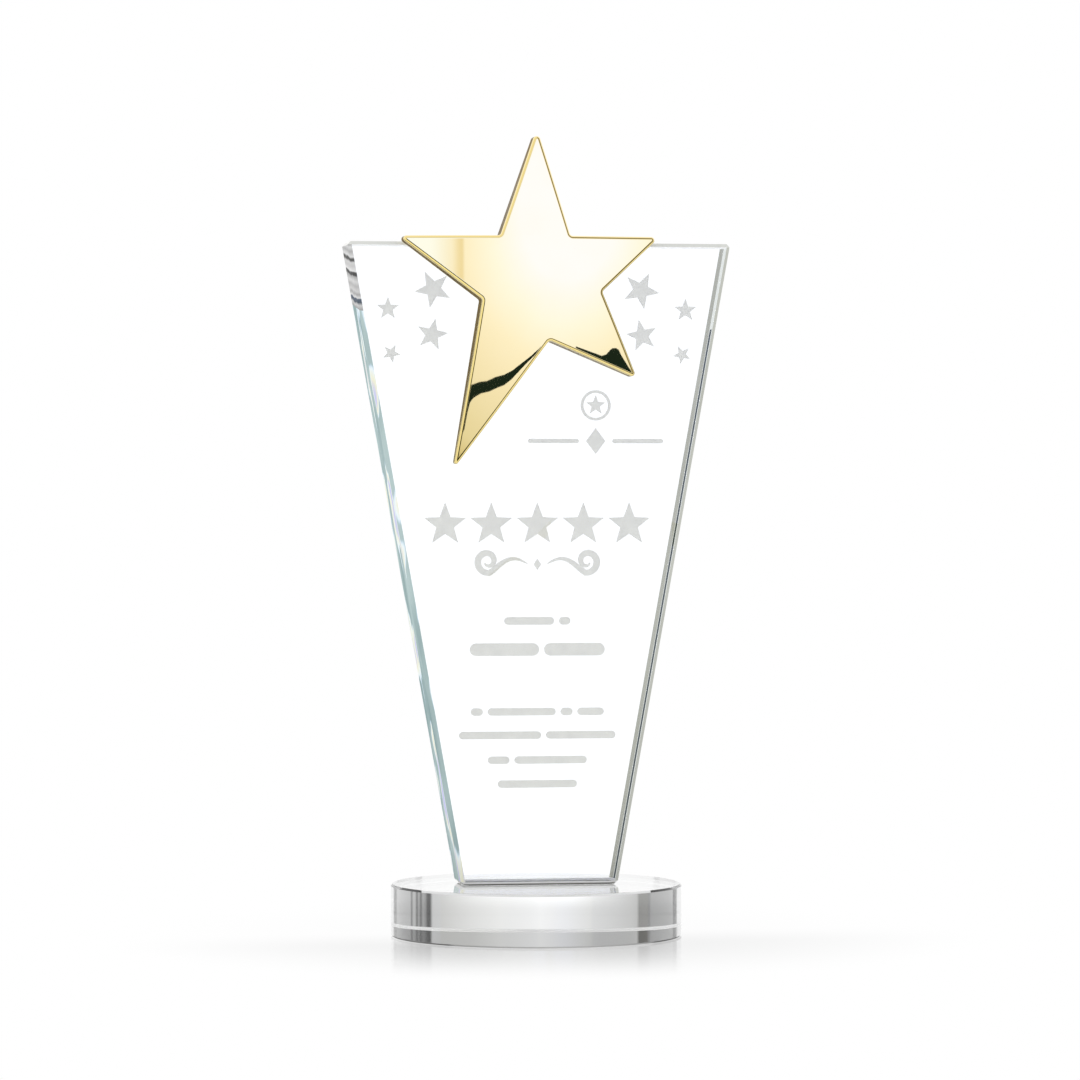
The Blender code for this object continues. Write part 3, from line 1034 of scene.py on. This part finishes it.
def crystal_surround(maths, x, y, height):
    """What the crystal shows, by degrees left of the line of sight and by height."""
    behind = maths.node("MULTIPLY", maths.node("ARCTAN2", x, y), DEGREES)
    aside = maths.node("SUBTRACT", CAMERA_TURN, behind)
    surround = grey(GROUND_TONE)
    for (middle, half), zone in (
        (GROUND_TOP, maths.surround(aside, 1)),
        (LOW_ZONE_TOP, maths.surround(aside, 2)),
        (HIGH_ZONE_START, maths.surround(aside, 3)),
        (SKY_START, grey(SKY_TONE)),
    ):
        surround = maths.choose(maths.step(height, middle - half, middle + half), surround, zone)
    return surround


def gold_surround(maths, x, y, height):
    """What the gold mirrors: the key light within its rings, the second light, and the seam."""
    ahead = maths.node("MULTIPLY", maths.node("ARCTAN2", x, maths.node("MULTIPLY", y, -1.0)), DEGREES)
    across = maths.node("DIVIDE", maths.node("SUBTRACT", ahead, KEY_ACROSS), KEY_WIDTH)
    upward = maths.node("DIVIDE", maths.node("SUBTRACT", height, KEY_UP), KEY_HEIGHT)
    squares = maths.node("ADD", maths.node("POWER", across, 2.0), maths.node("POWER", upward, 2.0))
    crossed = maths.node("MULTIPLY", maths.node("MULTIPLY", across, upward), KEY_SLANT)
    reach = maths.node("SQRT", maths.node("SUBTRACT", squares, crossed))
    rings = []
    for ring in (OPEN_RING, RIGHT_RING, LOW_LEFT_RING, LOW_RIGHT_RING):
        stops = [(place / KEY_END, color) for place, color in (*KEY_COLORS, *ring)]
        rings.append(maths.ramp(maths.node("DIVIDE", reach, KEY_END), stops))
    spread = maths.node("MAXIMUM", reach, 0.01)
    to_right = maths.step(maths.node("DIVIDE", across, spread), *RINGS_TO_RIGHT)
    is_low = maths.step(maths.node("DIVIDE", upward, spread), *RINGS_BELOW, 1.0, 0.0)
    above = maths.choose(to_right, rings[0], rings[1])
    below = maths.choose(to_right, rings[2], rings[3])
    below = maths.choose(maths.step(height, *LOW_RINGS_FOOT), FRONT_GROUND_TONE, below)
    mirrored = maths.choose(is_low, above, below)

    upper_part = maths.step(height, *SECOND_LIGHT_FOOT)
    near = maths.step(reach, *SECOND_LIGHT_REACH, 1.0, 0.0)
    within = maths.node("MULTIPLY", upper_part, near)
    second = maths.step(ahead, *SECOND_LIGHT_EDGE, 1.0, 0.0)
    mirrored = maths.choose(maths.node("MULTIPLY", second, within), mirrored, SECOND_LIGHT)
    rising = maths.step(ahead, SEAM[0], SEAM[1])
    falling = maths.step(ahead, SEAM[1], SEAM[2], 1.0, 0.0)
    seam = maths.node("MULTIPLY", rising, falling)
    mirrored = maths.choose(maths.node("MULTIPLY", seam, within), mirrored, SEAM_TONE)

    behind = maths.choose(maths.step(height, *UNDERSIDE_TOP), UNDERSIDE_TONE, grey(1.0))
    return maths.choose(maths.node("GREATER_THAN", y, 0.0), mirrored, behind)


def build_world():
    """White all round, with the greys that crystal edges pick up and a soft key light in front."""
    world = bpy.data.worlds.new("studio")
    bpy.context.scene.world = world
    world.use_nodes = True
    nodes = world.node_tree.nodes
    links = world.node_tree.links
    nodes.clear()
    maths = NodeMaths(world.node_tree)
    direction = nodes.new("ShaderNodeTexCoord")
    split = nodes.new("ShaderNodeSeparateXYZ")
    links.new(direction.outputs["Generated"], split.inputs[0])
    x, y, z = split.outputs
    height = maths.node("MULTIPLY", maths.node("ARCSINE", z), DEGREES)
    path = nodes.new("ShaderNodeLightPath")
    seen = maths.choose(path.outputs["Is Glossy Ray"], grey(1.0), gold_surround(maths, x, y, height))
    through = crystal_surround(maths, x, y, height)
    seen = maths.choose(path.outputs["Is Transmission Ray"], seen, through)
    seen = maths.choose(path.outputs["Is Camera Ray"], seen, grey(1.0))
    background = nodes.new("ShaderNodeBackground")
    output = nodes.new("ShaderNodeOutputWorld")
    links.new(seen, background.inputs["Color"])
    links.new(background.outputs[0], output.inputs[0])


def card_material(name, tone):
    """An even tone for reflections, and nothing for light that comes through the crystal."""
    material = bpy.data.materials.new(name)
    material.use_nodes = True
    nodes = material.node_tree.nodes
    links = material.node_tree.links
    nodes.clear()
    path = nodes.new("ShaderNodeLightPath")
    shade = nodes.new("ShaderNodeEmission")
    shade.inputs["Color"].default_value = tone
    clear = nodes.new("ShaderNodeBsdfTransparent")
    mix = nodes.new("ShaderNodeMixShader")
    output = nodes.new("ShaderNodeOutputMaterial")
    links.new(path.outputs["Is Transmission Ray"], mix.inputs["Fac"])
    links.new(shade.outputs[0], mix.inputs[1])
    links.new(clear.outputs[0], mix.inputs[2])
    links.new(mix.outputs[0], output.inputs["Surface"])
    return material


def build_card(name, corners, tone):
    """A flat card in front that only reflections show."""
    bm = bmesh.new()
    bm.faces.new([bm.verts.new(corner) for corner in corners])
    card = new_piece(name, bm, card_material(name, tone))
    card.visible_camera = False
    card.visible_diffuse = False
    card.visible_shadow = False


def mirrored_in_star(x, z, distance):
    """Where the line of sight to that place on the star's face goes on to, distance in front.

    x and z are from the star's origin.
    """
    drop = dome_drop(x, z)
    place = STAR_ORIGIN + Vector((x, -(STAR_THICKNESS - drop), z))
    normal = Vector((x, -(STAR_DOME_RADIUS - drop), z)).normalized()
    sight = (place - Vector(CAMERA_PLACE)).normalized()
    away = sight - 2 * sight.dot(normal) * normal
    return place + away * (distance / -away.y)


def build_cards():
    """One dark card for each dark shape in the star's lower legs."""
    for name, outline in (("left_dark_card", LEFT_DARK), ("right_dark_card", RIGHT_DARK)):
        corners = [mirrored_in_star(x * MM, z * MM, DARK_DISTANCE) for x, z in outline]
        build_card(name, corners, DARK_TONE)


def main():
    bpy.context.scene.view_settings.view_transform = "Standard"
    for limit in ("max_bounces", "glossy_bounces", "transmission_bounces"):
        setattr(bpy.context.scene.cycles, limit, LIGHT_BOUNCES)
    crystal = crystal_material("panel_crystal", (0.99, 1.0, 0.998), (0.98, 0.998, 0.992))
    base_crystal = crystal_material("base_crystal", (0.995, 1.0, 1.0), (0.985, 0.995, 0.995))
    frosted = frosted_material()
    base = build_base(base_crystal)
    panel = build_panel(crystal, frosted)
    film = build_film(adhesive_material())
    star = build_star(gold_material(), shaded_wall_material())
    for piece, node, slot in (
        (base, "crystal_base", "base_crystal"),
        (panel, "crystal_panel", "panel_crystal"),
        (film, "panel_bond_film", "clear_adhesive"),
        (star, "gold_star", "gold_plate"),
    ):
        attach(piece, "root")
        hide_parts(node)
    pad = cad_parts["star_tape_pad"].data
    pad.materials.clear()
    pad.materials.append(tape_material())
    build_floor()
    build_world()
    build_cards()
    build_camera()


main()
